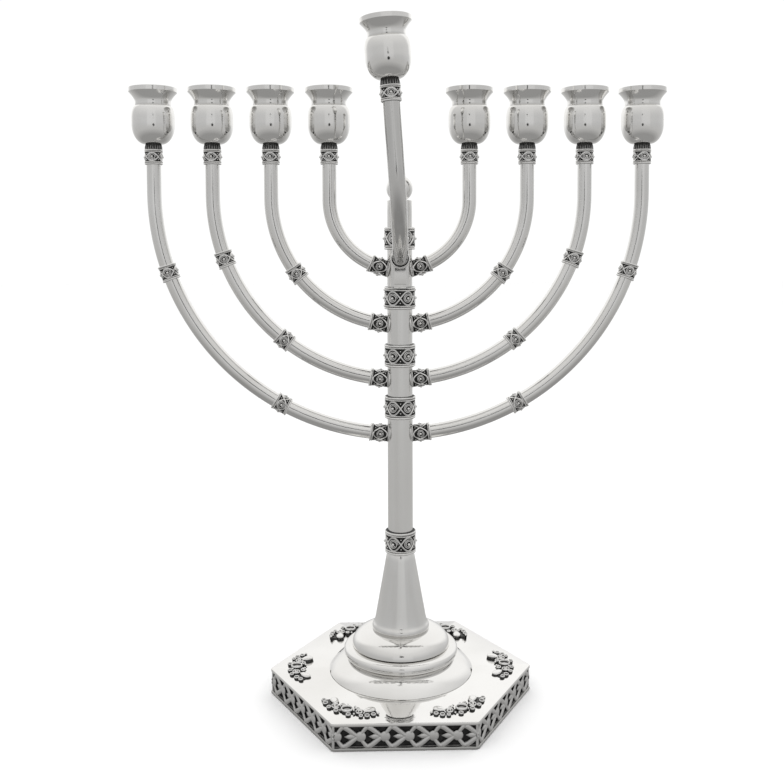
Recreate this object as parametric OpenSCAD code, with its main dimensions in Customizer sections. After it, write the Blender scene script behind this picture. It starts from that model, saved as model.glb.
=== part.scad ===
// Nine-light menorah: a hexagonal base with a pierced gallery, a stepped round foot, a tapered stem,
// a column with four pairs of concentric branches, and a lift-out helper arm at the front.
// Z is up, the branches lie in the XZ plane and the helper arm points along -Y.
// The origin is the middle of the underside of the base. All sizes are in millimetres.

/* [Base] */
// Distance across the corners of the hexagonal base
base_across = 150; // [125:1:185]
// Height of the base, from the table to its top face
base_h = 14.5; // [13.5:0.5:20]
// Thickness of the top plate
top_t = 1.8; // [1.2:0.1:2.5]
// Thickness of the bottom plate
bottom_t = 1.6; // [1.2:0.1:2.5]
// Radius of the hand hole in the bottom plate, where the nut is reached
hand_hole_r = 15; // [13:0.5:25]
// Thickness of the pierced gallery strips
gallery_t = 1.4; // [1:0.1:2.5]
// How far the top and bottom plates stand out past the gallery
gallery_inset = 0.4; // [0.2:0.1:1]
// Number of lozenges along each side of the gallery
gallery_units = 6; // [4:1:9]
// Width of the arms that form the lozenges
gallery_arm_w = 1.5; // [1:0.1:2.2]
// Thickness of the blackened lining behind the gallery
lining_t = 0.8; // [0.5:0.1:1.5]
// Gap between each base corner and the outer rings of its ornament
ornament_inset = 8; // [6:0.5:14]

/* [Foot and stem] */
// Height of the stepped foot above the top plate
foot_h = 23.5; // [18:0.5:30]
// Radius of the foot where its skirt meets the top plate
skirt_r = 41; // [38:0.5:45]
// Radius of the round moulding above the skirt
ring_r = 32.6; // [30:0.1:36]
// Radius of the cushion above the moulding
cushion_r = 27.8; // [24:0.1:29.5]
// Height of the tapered stem
cone_h = 44; // [36:0.5:60]
// Radius of the bead round the lower end of the tapered stem
cone_bead_r = 16.4; // [15.5:0.1:19]
// Radius of the tapered stem just above its bead
cone_r = 14.3; // [12:0.1:15]
// Wall of the foot and the tapered stem
shell_t = 1; // [0.8:0.1:1.6]
// Radius of the threaded rod that holds the stack together
rod_r = 3; // [2.5:0.5:4]

/* [Column] */
// Diameter of the column
column_d = 14.2; // [12:0.1:17.1]
// Wall of the column tube
column_wall = 1; // [0.8:0.1:1.6]
// Height of the lowest pair of branches above the tapered stem
lowest_joint = 68.2; // [55:0.2:85]
// Height from one pair of branches to the next
joint_pitch = 31; // [28:0.5:38]
// Length of column above the highest pair of branches
column_tail = 39.4; // [36:0.2:55]
// Height of the filigree bands on the column
column_band_h = 12.6; // [9:0.2:14]
// Thickness of the bands' sleeves on the column
column_band_t = 1.5; // [1.4:0.05:2]
// Diameter of the ball on top of the column
ball_d = 14.9; // [12:0.1:20]

/* [Branches] */
// Diameter of the branch tubes
branch_d = 8; // [7:0.1:9.6]
// Wall of the branch tubes
branch_wall = 0.9; // [0.7:0.1:1.4]
// Radius of the innermost pair of branches
inner_r = 39.4; // [34:0.2:50]
// Distance from one branch to the next
branch_pitch = 32.6; // [30:0.2:42]
// Straight length at the top of the outermost branches, up to the cups
straight_h = 26.6; // [22:0.2:45]
// Length of the bands next to the column
collar_len = 10.2; // [8:0.2:12]
// Length of the bands partway along the branches
mid_band_len = 9; // [7:0.2:11]
// Length of the bands under the cups
cup_band_len = 11.3; // [8:0.1:14]
// Thickness of the bands' sleeves on the branches
branch_band_t = 0.9; // [0.7:0.05:1.3]

/* [Cups] */
// Height of a cup
cup_h = 31; // [28:0.5:38]
// Diameter across the rim of a cup
cup_rim_d = 26.5; // [24:0.1:30]
// Diameter of the waist below the rim
cup_neck_d = 19.6; // [17:0.1:21]
// Largest diameter of the body of a cup
cup_body_d = 23.6; // [22:0.1:26]
// Wall of a cup
cup_wall = 0.8; // [0.6:0.05:1.2]
// Height of the straight candle seat inside the waist
seat_h = 2.4; // [2:0.1:4]

/* [Helper arm] */
// Diameter of the helper arm's tube
helper_d = 8.7; // [8:0.1:10.5]
// Distance from the column's axis to the helper cup's axis
helper_reach = 50; // [44:0.5:60]
// Height of the helper arm's root above the highest pair of branches
helper_root = 4.8; // [4.6:0.1:8]
// Straight length at the top of the helper arm, up to its cup
helper_straight = 43; // [36:0.5:60]
// Sideways lean of the helper arm above its root, in degrees
helper_lean = 4; // [0:0.5:6]
// Width of the tongue that hooks the helper arm to the column
tongue_w = 7.1; // [5:0.1:9]
// Thickness of the tongue's blade
blade_t = 0.8; // [0.6:0.05:0.8]
// Depth that the blade drops into its pocket
blade_drop = 4; // [2:0.5:6]
// Clearance on each side of the blade in its pocket
pocket_gap = 0.15; // [0.1:0.05:0.2]

/* [Hidden] */
$fn = 64;
SIDES = ["left", "right"];

silver = "#c9c9c6";
dark_silver = "#8b8b87";
black_silver = "#2b2a28";
steel = "#9a9fa4";

// Base
base_r = base_across / 2;
gallery_h = base_h - top_t - bottom_t;
gallery_r = base_r - gallery_inset / cos(30);
lining_r = gallery_r - gallery_t / cos(30);
rail_h = 0.7;
washer_r = 11;
washer_t = 1.6;
nut_across = 10;
nut_h = 5;
rod_below_nut = 1.2;

ornament_room = 26;
backing_t = 0.8;
backing_r = 22;
backing_half_angle = 46;
petal_r = 2.9;

// Foot and stem
foot_z = base_h;
cone_z = foot_z + foot_h;
column_z = cone_z + cone_h;
skirt_h = 8.3;
ring_h = 6;
skirt_top_r = ring_r - ring_h / 2;
groove_r = cushion_r - 1.2;
cushion_top_r = cone_bead_r - 0.8;
cone_bead_h = 4.5;
cone_top_r = column_d / 2 + 0.6;

// Column
column_r = column_d / 2;
plug_h = 14;
rod_in_plug = 11;
top_joint_z = column_z + lowest_joint + 3 * joint_pitch;
column_top_z = top_joint_z + column_tail;
ball_r = ball_d / 2;
ball_seat_r = 3.4;
ball_z = column_top_z + sqrt(ball_r * ball_r - ball_seat_r * ball_seat_r);
band_wire_r = 0.65;
wire_stand = 0.25;
granule_r = 0.8;
granule_stand = 0.3;
column_granules = 6;

// Branches, numbered from the innermost pair outwards
branch_r = branch_d / 2;
band_r = branch_r + branch_band_t;
end_wire = 0.45;
end_wire_len = 1.3;
collar_bite = 0.1;
branch_granules = 4;
mid_angles = [[], [53.5], [38.5, 69.8], [29.2, 70.8]];
cup_foot_z = arc_z(4) + straight_h;
function arc_r(i) = inner_r + (i - 1) * branch_pitch;
function joint_z(i) = top_joint_z - (i - 1) * joint_pitch;
function arc_z(i) = joint_z(i) + arc_r(i);
function side_sign(s) = s == "left" ? -1 : 1;

// Cups
cup_foot_r = band_r - 0.5;
bowl_h = 11 / 31 * cup_h;
shoulder_z = 14.5 / 31 * cup_h;
crease_z = 21 / 31 * cup_h;
lip_h = 2.4;
floor_t = 1.2;
flare_power = 1.5;

// Helper arm
helper_r = helper_d / 2;
helper_z = top_joint_z + helper_root;
helper_arc_z = helper_z + helper_reach;
helper_cup_z = helper_arc_z + helper_straight;
helper_collar_len = 3;
helper_collar_t = 1.2;
root_face = column_r + column_band_t + wire_stand + pocket_gap;
blade_r = column_r + pocket_gap;
pocket_floor_gap = 0.6;
hook_above_band = 1.5;
hook_top = helper_z + 2;
helper_lift = blade_drop + 0.5;
lift_gap = 0.4;

// Heights of the middles of the column's bands, from the lowest up; the third holds the helper arm's pocket
pocket_band = 3;
column_band_z = [
    column_z + lowest_joint + 0.5 * joint_pitch,
    column_z + lowest_joint + 1.45 * joint_pitch,
    column_z + lowest_joint + 2.5 * joint_pitch,
    hook_top + helper_lift + lift_gap + column_band_h / 2
];
pocket_band_top = column_band_z[pocket_band - 1] + column_band_h / 2;

// ---------------------------------------------------------------- general shapes

// Flat ring outline
module annulus(r_out, r_in) {
    difference() {
        circle(r_out);
        circle(r_in);
    }
}

// Tube standing on the XY plane
module tube(h, r_out, r_in) {
    difference() {
        cylinder(h = h, r = r_out);
        translate([0, 0, -1]) cylinder(h = h + 2, r = r_in);
    }
}

// Wire ring lying in the XY plane
module wire_ring(r, wire_r) {
    rotate_extrude() translate([r, 0]) circle(wire_r, $fn = 24);
}

// Sweeps a flat outline along an arc in the XZ plane, with angles counted from straight down towards +X
module bend(r, from, to) {
    rotate([90, 0, 0]) rotate([0, 0, from - 90])
        rotate_extrude(angle = to - from) translate([r, 0]) children();
}

// Puts children at an angle on an arc, with +Z along the arc
module on_arc(r, angle) {
    translate([r * sin(angle), 0, -r * cos(angle)]) rotate([0, 90 - angle, 0]) children();
}

// Repeats children round the Z axis
module around(n) {
    for (i = [0:n - 1]) rotate([0, 0, i * 360 / n]) children();
}

// Straight filigree band standing on the XY plane: a sleeve, a wire ring at each end, and granules
module straight_band(r_in, t, h, granules) {
    difference() {
        union() {
            cylinder(h = h, r = r_in + t);
            for (z = [band_wire_r, h - band_wire_r])
                translate([0, 0, z]) wire_ring(r_in + t + wire_stand - band_wire_r, band_wire_r);
            around(granules)
                translate([r_in + t + granule_stand, 0, h / 2]) sphere(granule_r, $fn = 24);
        }
        translate([0, 0, -1]) cylinder(h = h + 2, r = r_in);
    }
}

// Curved filigree band on an arc of radius r: a sleeve, two end rings and granules
module curved_band(r, r_in, t, from, to) {
    ring = end_wire_len / r * 180 / PI;
    difference() {
        union() {
            bend(r, from, to) circle(r_in + t);
            for (a = [from, to - ring])
                bend(r, a, a + ring) circle(r_in + t + end_wire);
            on_arc(r, (from + to) / 2) around(branch_granules)
                translate([r_in + t + end_wire / 2, 0, 0]) sphere(granule_r, $fn = 24);
        }
        bend(r, from - 1, to + 1) circle(r_in);
    }
}

// Moves children to one corner or one side of the hexagon
module at_corner(i) {
    rotate([0, 0, 60 * (i - 1)]) children();
}

module at_side(i) {
    rotate([0, 0, 60 * (i - 1) + 30]) children();
}

// ---------------------------------------------------------------- base

module base_plate() {
    color(silver) translate([0, 0, base_h - top_t]) difference() {
        cylinder(h = top_t, r = base_r, $fn = 6);
        translate([0, 0, -1]) cylinder(h = top_t + 2, r = rod_r);
    }
}

module bottom_plate() {
    color(silver) difference() {
        cylinder(h = bottom_t, r = base_r, $fn = 6);
        translate([0, 0, -1]) cylinder(h = bottom_t + 2, r = hand_hole_r);
    }
}

module base_lining() {
    color(black_silver) translate([0, 0, bottom_t]) difference() {
        cylinder(h = gallery_h, r = lining_r, $fn = 6);
        translate([0, 0, -1]) cylinder(h = gallery_h + 2, r = lining_r - lining_t / cos(30), $fn = 6);
    }
}

// Flat bar between two points, with ends square to it
module bar(a, b, w) {
    d = b - a;
    n = [-d[1], d[0]] / norm(d) * w / 2;
    polygon([a + n, a - n, b - n, b + n]);
}

// One lozenge: a disc and four arms
module gallery_unit(pitch) {
    mid = gallery_h / 2;
    peak = 0.42 * pitch;
    arm_end = 0.45 * gallery_arm_w;
    left = [-0.02 * pitch, mid];
    right = [1.02 * pitch, mid];
    for (v = [arm_end, gallery_h - arm_end]) {
        bar(left, [peak, v], gallery_arm_w);
        bar([peak, v], right, gallery_arm_w);
    }
    translate([0.21 * pitch, mid]) circle(0.2 * pitch, $fn = 32);
}

// Leaf that points from the right-hand end of a lozenge back at the disc, a little thinner than its arms
module gallery_leaf(pitch) {
    mid = gallery_h / 2;
    translate([0, 0, 0.1]) linear_extrude(gallery_t - 0.2)
        polygon([[0.5 * pitch, mid], [0.72 * pitch, mid + 0.9], [pitch, mid + 0.4], [pitch, mid - 0.4],
            [0.72 * pitch, mid - 0.9]]);
}

// A side of the gallery, its ends mitred against the next sides
module gallery_panel(i) {
    length = gallery_r;
    pitch = length / gallery_units;
    color(dark_silver) at_side(i) intersection() {
        translate([gallery_r * cos(30) - gallery_t, 0, bottom_t]) rotate([90, 0, 90]) {
            for (k = [0:gallery_units - 1])
                translate([-length / 2 + k * pitch, 0, 0]) gallery_leaf(pitch);
            linear_extrude(gallery_t) intersection() {
                translate([-length / 2, 0]) square([length, gallery_h]);
                union() {
                    for (k = [0:gallery_units - 1])
                        translate([-length / 2 + k * pitch, 0]) gallery_unit(pitch);
                    for (v = [0, gallery_h - rail_h]) translate([-length / 2, v]) square([length, rail_h]);
                    for (u = [-length / 2, length / 2 - 2 * gallery_t])
                        translate([u, 0]) square([2 * gallery_t, gallery_h]);
                }
            }
        }
        linear_extrude(base_h)
            polygon([[0, 0], [base_r * cos(30), -base_r / 2], [base_r * cos(30), base_r / 2]]);
    }
}

module base_washer() {
    color(steel) translate([0, 0, base_h - top_t - washer_t]) tube(washer_t, washer_r, rod_r);
}

module base_nut() {
    color(steel) translate([0, 0, base_h - top_t - washer_t - nut_h]) difference() {
        cylinder(h = nut_h, r = nut_across / 2 / cos(30), $fn = 6);
        translate([0, 0, -1]) cylinder(h = nut_h + 2, r = rod_r);
    }
}

module tie_rod() {
    low = base_h - top_t - washer_t - nut_h - rod_below_nut;
    color(steel) translate([0, 0, low]) cylinder(h = column_z + rod_in_plug - low, r = rod_r);
}

// Flat plan of the ornaments: a raised setting, two coils, two domed petals, small rings and an end bead on
// a curved backing. X = 0 is its outer edge and Z = 0 the plate.
module ornament_plan(hand) {
    setting = -7;
    coils = [[-0.8, -7.2, 3], [-0.6, 7.4, 2.8]];
    petals = [[-6.5, -10.6], [-6.8, 11.4]];
    rings = [[4.2, -3.2], [3.6, 5], [0.3, -13.2], [-1.2, 15.2]];
    intersection() {
        union() {
            translate([setting - backing_r, 0, 0]) rotate([0, 0, -backing_half_angle])
                rotate_extrude(angle = 2 * backing_half_angle)
                    translate([backing_r - 2.2, 0]) square([5.2, backing_t]);
            translate([setting, 0, 0]) tube(3, 3.1, 2.3);
            for (c = coils) translate([setting + c[0], hand * c[1], 0]) tube(2.2, c[2], 1);
            for (c = petals) translate([setting + c[0], hand * c[1], 0]) sphere(petal_r, $fn = 32);
            for (c = rings) translate([setting + c[0], hand * c[1], 0]) tube(1.9, 1.8, 0.8);
            translate([setting - 1.6, hand * -16.6, 0]) cylinder(h = 1.9, r = 1.5);
        }
        cylinder(h = 2 * petal_r, r = 2 * backing_r);
    }
}

// Ornament for one corner, sized to the room between the foot and the corner. Neighbouring corners have left
// and right hands of it.
module corner_ornament(i) {
    hand = i % 2 == 0 ? 1 : -1;
    room = base_r - ornament_inset - skirt_r;
    color(dark_silver) at_corner(i) translate([base_r - ornament_inset, 0, base_h])
        scale(room / ornament_room) ornament_plan(hand);
}

// ---------------------------------------------------------------- foot and stem

// Points of a quarter ellipse from [r_out, z0] up to [r_in, z1], upright at its start and level at its end
function shoulder(r_out, r_in, z0, z1, n) =
    [for (k = [0:n]) [r_in + (r_out - r_in) * cos(90 * k / n), z0 + (z1 - z0) * sin(90 * k / n)]];

// Points of a half-round bead of height h, its widest point at radius r
function bead(r, z0, h, n) =
    [for (k = [0:n]) [r - h / 2 * (1 - sin(180 * k / n)), z0 + h / 2 * (1 - cos(180 * k / n))]];

// Points of a line from a to b that swells outwards by d in its middle
function swell(a, b, d, n) =
    [for (k = [0:n])
        a + (b - a) * k / n + [b[1] - a[1], a[0] - b[0]] / norm(b - a) * 4 * d * k / n * (1 - k / n)];

// Spun foot: a flared skirt, a round moulding and a cushion, hollow and open below
module foot_dome() {
    t = shell_t;
    ring_z = skirt_h + ring_h;
    outer = concat(
        swell([skirt_r, 0], [skirt_top_r, skirt_h], 1.2, 6),
        bead(ring_r, skirt_h, ring_h, 8),
        [[groove_r, ring_z]],
        shoulder(cushion_r, cushion_top_r, ring_z + 0.6, foot_h, 8)
    );
    inner = concat(
        [[skirt_r - 2.5 * t, 0], [skirt_top_r - 1.5 * t, skirt_h - t], [groove_r - t, skirt_h - t]],
        shoulder(groove_r - t, cushion_top_r - t, ring_z, foot_h - t, 6)
    );
    color(silver) translate([0, 0, foot_z]) difference() {
        rotate_extrude() polygon(concat([[rod_r, 0]], outer, [[rod_r, foot_h]]));
        rotate_extrude() polygon(concat([[0, -1], [skirt_r - 2.5 * t, -1]], inner, [[0, foot_h - t]]));
    }
}

// Tapered stem with a bead round its lower end, hollow and open below
module stem_cone() {
    t = shell_t;
    outer = concat(
        [[rod_r, 0]],
        bead(cone_bead_r, 0, cone_bead_h, 8),
        [[cone_r, cone_bead_h], [cone_top_r, cone_h], [rod_r, cone_h]]
    );
    inner = [[0, -1], [cone_r - t, -1], [cone_r - t, cone_bead_h], [cone_top_r - t, cone_h - t],
        [0, cone_h - t]];
    color(silver) translate([0, 0, cone_z]) difference() {
        rotate_extrude() polygon(outer);
        rotate_extrude() polygon(inner);
    }
}

module stem_band() {
    color(dark_silver) translate([0, 0, column_z])
        straight_band(column_r, column_band_t, column_band_h, column_granules);
}

// ---------------------------------------------------------------- column

// Column tube, closed at its top
module column() {
    h = column_top_z - column_z;
    color(silver) translate([0, 0, column_z]) difference() {
        cylinder(h = h, r = column_r);
        translate([0, 0, -1]) cylinder(h = h + 1 - column_wall, r = column_r - column_wall);
    }
}

// Threaded plug in the foot of the column, which the rod screws into
module column_plug() {
    color(steel) translate([0, 0, column_z]) difference() {
        cylinder(h = plug_h, r = column_r - column_wall);
        translate([0, 0, -1]) cylinder(h = rod_in_plug + 1, r = rod_r);
    }
}

// Space between the column and a band that the helper arm's blade drops into
module pocket() {
    w = tongue_w + 2 * pocket_gap;
    depth = blade_drop + pocket_floor_gap;
    intersection() {
        translate([0, 0, pocket_band_top - depth])
            tube(depth + 1, blade_r + blade_t + pocket_gap, column_r - 0.1);
        translate([-w / 2, -2 * column_r, 0]) cube([w, 2 * column_r, pocket_band_top + 2]);
    }
}

module column_band(i) {
    color(dark_silver) difference() {
        translate([0, 0, column_band_z[i - 1] - column_band_h / 2])
            straight_band(column_r, column_band_t, column_band_h, column_granules);
        if (i == pocket_band) pocket();
    }
}

// Hollow ball, flattened where it sits on the column
module finial_ball() {
    seat = ball_z - column_top_z;
    color(silver) translate([0, 0, ball_z]) difference() {
        sphere(ball_r);
        sphere(ball_r - 1);
        translate([0, 0, -seat - 5]) cylinder(h = 5, r = ball_r);
        translate([0, 0, -ball_r]) cylinder(h = ball_r, r = 1.5, $fn = 24);
    }
}

// Small rosette and bead on top of the ball
module finial_bead() {
    color(dark_silver) translate([0, 0, ball_z]) difference() {
        union() {
            translate([0, 0, ball_r - 1.2]) cylinder(h = 1.7, r = 3);
            translate([0, 0, ball_r]) cylinder(h = 1.2, r = 1.6, $fn = 32);
            translate([0, 0, ball_r + 2]) sphere(1.2, $fn = 32);
        }
        sphere(ball_r);
    }
}

// ---------------------------------------------------------------- branches

// Tube that follows an arc and then rises straight by h
module arm_tube(r, r_out, wall, h) {
    bend(r, 0, 90) annulus(r_out, r_out - wall);
    translate([r, 0, 0]) tube(h, r_out, r_out - wall);
}

// Moves children from the right-hand branch i to either side, with Z = 0 at the centre of its arc
module at_branch(side, i) {
    mirror([side == "left" ? 1 : 0, 0, 0]) translate([0, 0, arc_z(i)]) children();
}

module branch(side, i) {
    color(silver) difference() {
        at_branch(side, i) arm_tube(arc_r(i), branch_r, branch_wall, cup_foot_z - arc_z(i));
        cylinder(h = column_top_z, r = column_r);
    }
}

// How far from the axis the column's face is, at a distance y to one side
function column_face_x(y) = sqrt(max(0, pow(column_r, 2) - pow(y, 2)));

// The filigree bands of one branch: against the column, partway along, and under the cup
module branch_bands(side, i) {
    r = arc_r(i);
    collar_from = asin((column_face_x(branch_r + branch_band_t + end_wire) - collar_bite) / r);
    collar_to = asin((column_r + collar_len) / r);
    half = mid_band_len / r * 90 / PI;
    color(dark_silver) at_branch(side, i) {
        difference() {
            curved_band(r, branch_r, branch_band_t, collar_from, collar_to);
            translate([0, 0, -r - 2 * column_r]) cylinder(h = 4 * column_r, r = column_r);
        }
        for (a = mid_angles[i - 1])
            curved_band(r, branch_r, branch_band_t, a - half, a + half);
        translate([r, 0, cup_foot_z - arc_z(i) - cup_band_len])
            straight_band(branch_r, branch_band_t, cup_band_len, branch_granules);
    }
}

// ---------------------------------------------------------------- cups

// Outline of half a cup's outside, made d smaller all round, from its foot up to its rim
function cup_side(d) = concat(
    [for (k = [0:8]) [
        cup_foot_r - d + (cup_body_d / 2 - cup_foot_r) * sin(90 * k / 8),
        bowl_h * (1 - cos(90 * k / 8)) + (d > 0 ? floor_t * cos(90 * k / 8) : 0)
    ]],
    [for (k = [0:6]) [
        cup_neck_d / 2 - d + (cup_body_d - cup_neck_d) / 2 * cos(90 * k / 6),
        shoulder_z + (crease_z - shoulder_z) * sin(90 * k / 6)
    ]],
    [for (k = [0:6]) [
        cup_neck_d / 2 - d + (cup_rim_d - cup_neck_d) / 2 * pow(k / 6, flare_power),
        crease_z + seat_h + (cup_h - lip_h - crease_z - seat_h) * k / 6
    ]],
    [[cup_rim_d / 2 - d, cup_h]]
);

// Spun cup with its foot at Z = 0
module cup() {
    inside = cup_side(cup_wall);
    color(silver) difference() {
        rotate_extrude() polygon(concat([[0, 0]], cup_side(0), [[0, cup_h]]));
        rotate_extrude()
            polygon(concat([[0, floor_t]], inside, [[inside[len(inside) - 1][0], cup_h + 1], [0, cup_h + 1]]));
    }
}

module branch_cup(side, i) {
    translate([side_sign(side) * arc_r(i), 0, cup_foot_z]) cup();
}

// ---------------------------------------------------------------- helper arm

// Puts a part drawn like a right-hand branch, with Z = 0 at the centre of its arc, at the front, leaning
module at_helper() {
    translate([0, 0, helper_z]) rotate([0, -helper_lean, 0]) rotate([0, 0, -90])
        translate([0, 0, helper_reach]) children();
}

// Everything behind the flat face where the helper arm's tube ends
module behind_root_face() {
    translate([-2 * helper_reach, -root_face, 0])
        cube([4 * helper_reach, 4 * helper_reach, 2 * helper_cup_z]);
}

// Hook: a curved blade for the pocket and a block that carries the tube
module helper_tongue() {
    low = pocket_band_top - blade_drop;
    block_z = pocket_band_top + hook_above_band;
    color(silver) union() {
        intersection() {
            translate([0, 0, low]) tube(hook_top - low, blade_r + blade_t, blade_r);
            translate([-tongue_w / 2, -2 * column_r, 0]) cube([tongue_w, 2 * column_r, hook_top]);
        }
        difference() {
            translate([-tongue_w / 2, -root_face, block_z])
                cube([tongue_w, root_face - tongue_w / 2, hook_top - block_z]);
            cylinder(h = column_top_z, r = blade_r);
        }
    }
}

// Plain ring round the tube where it leaves the hook
module helper_collar() {
    end = asin((root_face + helper_collar_len) / helper_reach);
    color(dark_silver) difference() {
        at_helper() bend(helper_reach, 2, end) annulus(helper_r + helper_collar_t, helper_r);
        behind_root_face();
    }
}

module helper_tube() {
    color(silver) difference() {
        at_helper() arm_tube(helper_reach, helper_r, branch_wall, helper_straight);
        behind_root_face();
    }
}

module helper_band() {
    color(dark_silver) at_helper() translate([helper_reach, 0, helper_straight - cup_band_len])
        straight_band(helper_r, branch_band_t, cup_band_len, branch_granules);
}

module helper_cup() {
    at_helper() translate([helper_reach, 0, helper_straight]) cup();
}

// ---------------------------------------------------------------- parts

base_plate();
bottom_plate();
base_lining();
base_washer();
base_nut();
tie_rod();
foot_dome();
stem_cone();
stem_band();
column();
column_plug();
finial_ball();
finial_bead();
helper_tongue();
helper_collar();
helper_tube();
helper_band();
helper_cup();
for (i = [1:6]) {
    gallery_panel(i);
    corner_ornament(i);
}
for (i = [1:4]) {
    column_band(i);
    for (s = SIDES) {
        branch(s, i);
        branch_bands(s, i);
        branch_cup(s, i);
    }
}
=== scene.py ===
"""Nine-light silver menorah on a pale studio floor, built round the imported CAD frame."""
import math
import bpy
import bmesh
import numpy as np
from mathutils import Matrix, Vector


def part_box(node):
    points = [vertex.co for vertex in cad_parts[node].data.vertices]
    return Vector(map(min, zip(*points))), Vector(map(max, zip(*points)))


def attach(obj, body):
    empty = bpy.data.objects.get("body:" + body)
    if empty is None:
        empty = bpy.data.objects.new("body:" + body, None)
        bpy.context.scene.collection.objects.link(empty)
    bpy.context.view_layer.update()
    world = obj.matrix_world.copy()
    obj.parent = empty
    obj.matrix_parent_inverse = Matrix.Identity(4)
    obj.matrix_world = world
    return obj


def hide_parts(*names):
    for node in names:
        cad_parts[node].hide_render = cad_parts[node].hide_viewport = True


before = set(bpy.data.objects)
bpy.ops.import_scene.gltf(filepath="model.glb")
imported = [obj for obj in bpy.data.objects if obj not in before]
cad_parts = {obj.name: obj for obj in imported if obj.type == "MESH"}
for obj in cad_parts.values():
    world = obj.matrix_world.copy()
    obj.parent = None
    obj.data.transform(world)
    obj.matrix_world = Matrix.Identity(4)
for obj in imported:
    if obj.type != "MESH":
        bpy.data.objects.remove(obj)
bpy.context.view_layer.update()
MM = 0.001
TAU = 2 * math.pi
COS_30 = math.cos(math.radians(30))


# ---------------- sizes, in millimetres, from the CAD boxes

def box_mm(node):
    """Lowest and highest corner of a CAD node, in millimetres."""
    low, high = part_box(node)
    return np.array(low) / MM, np.array(high) / MM


plate_low, plate_high = box_mm("base_plate")
foot_low, foot_high = box_mm("foot_dome")
cone_low, cone_high = box_mm("stem_cone")
column_low, column_high = box_mm("column")
stem_band_low, stem_band_high = box_mm("stem_band")
cup_boxes = [box_mm(f"cup_right_{i}") for i in range(1, 5)]

# base
BASE_R = plate_high[0]
PLATE_TOP = plate_high[2]
UNDER_TOP = box_mm("bottom_plate")[1][2]
GALLERY_INSET, GALLERY_DEPTH, LOZENGES = 0.4, 1.4, 6
ORNAMENT_AT = BASE_R - 15.0

# column and finial
COLUMN_R = column_high[0]
COLUMN_TOP = column_high[2]
COLUMN_GROUND, COLUMN_RIM = 8.3, COLUMN_R + 1.75
COLUMN_BAND_LEN = stem_band_high[2] - stem_band_low[2]
FINIAL_R = 7.45

# branches, their bands and cups, from the innermost pair outwards
BRANCH_R, TUBE_WALL, BRANCH_GROUND, BAND_R = 4.0, 0.9, 4.35, 4.9
CUP_FOOT = cup_boxes[0][0][2]
SIDES = {"left": -1, "right": 1}
ARC_R = [(low[0] + high[0]) / 2 for low, high in cup_boxes]
JOINT_Z = [box_mm(f"branch_right_{i}")[0][2] + BRANCH_R for i in range(1, 5)]
MID_ANGLES = [[], [53.5], [38.5, 69.8], [29.2, 70.8]]
COLLAR_LEN, MID_LEN, CUP_BAND_LEN, FLUTE_LEN = 11.8, 9.0, 11.3, 2.9

# helper arm
HELPER_R, HELPER_REACH, HELPER_STRAIGHT, HELPER_LEAN = 4.35, 50.0, 43.0, math.radians(4)
HELPER_TOP = HELPER_REACH + HELPER_STRAIGHT
HELPER_ROOT = JOINT_Z[0] + 4.8
ROOT_FACE = -box_mm("helper_tongue")[0][1]
BLADE_IN, BLADE_OUT, TONGUE_HALF = COLUMN_R + 0.15, COLUMN_R + 0.95, 3.55


# ---------------- mesh tools

class Shape:
    """One piece in millimetres: vertices, faces, and how far each vertex stands out of the black ground."""

    def __init__(self):
        self.co, self.faces, self.high, self.mats = [], [], [], []

    def add(self, co, faces, high=1.0, mat=0):
        """Adds a part. high is one number or one for each vertex, and mat picks the material."""
        base = len(self.co)
        self.co.extend(tuple(float(x) for x in c) for c in co)
        self.faces.extend(tuple(i + base for i in f) for f in faces)
        self.high.extend([high] * len(co) if isinstance(high, (int, float)) else list(high))
        self.mats.extend([mat] * len(faces))
        return self

    def join(self, other):
        """Takes in another shape."""
        self.add(other.co, other.faces, other.high)
        self.mats[-len(other.faces):] = other.mats
        return self

    def warp(self, function):
        """Moves every vertex added so far by function, which maps an array of points."""
        self.co = [tuple(c) for c in function(np.array(self.co, float))]
        return self

    def make(self, name, body, materials, replaces, slot):
        """Turns the shape into a piece of the model that rides on a body and stands for CAD nodes."""
        mesh = bpy.data.meshes.new(name)
        mesh.from_pydata((np.array(self.co) * MM).tolist(), [], self.faces)
        mesh.polygons.foreach_set("use_smooth", [True] * len(mesh.polygons))
        mesh.polygons.foreach_set("material_index", self.mats)
        # high darkens the wire and cast materials low down: part oxide, part painted shade
        attribute = mesh.attributes.new("high", "FLOAT", "POINT")
        attribute.data.foreach_set("value", self.high)
        bm = bmesh.new()
        bm.from_mesh(mesh)
        bmesh.ops.recalc_face_normals(bm, faces=bm.faces)
        bm.to_mesh(mesh)
        bm.free()
        mesh.set_sharp_from_angle(angle=math.radians(38))
        for m in materials:
            mesh.materials.append(m)
        piece = bpy.data.objects.new(name, mesh)
        bpy.context.scene.collection.objects.link(piece)
        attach(piece, body)
        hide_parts(*replaces)


def revolve(profile, segments=64, closed=True):
    """Spins [r, z] points round Z. A closed profile is a ring's section; an open one ends on the axis."""
    co, rings = [], []
    for r, z in profile:
        if r < 1e-6:
            rings.append([len(co)] * segments)
            co.append((0, 0, z))
        else:
            rings.append(list(range(len(co), len(co) + segments)))
            co.extend((r * math.cos(TAU * k / segments), r * math.sin(TAU * k / segments), z)
                      for k in range(segments))
    faces = []
    pairs = zip(rings, rings[1:] + rings[:1]) if closed else zip(rings, rings[1:])
    for a, b in pairs:
        for k in range(segments):
            n = (k + 1) % segments
            face = list(dict.fromkeys((a[k], a[n], b[n], b[k])))
            if len(face) > 2:
                faces.append(face)
    return co, faces


def loft_faces(steps):
    """Faces of a solid through steps + 1 sections of four corners each."""
    faces = []
    for k in range(steps):
        for j in range(4):
            n = (j + 1) % 4
            faces.append((4 * k + j, 4 * k + n, 4 * k + 4 + n, 4 * k + 4 + j))
    return faces + [(3, 2, 1, 0), tuple(4 * steps + j for j in range(4))]


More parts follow.
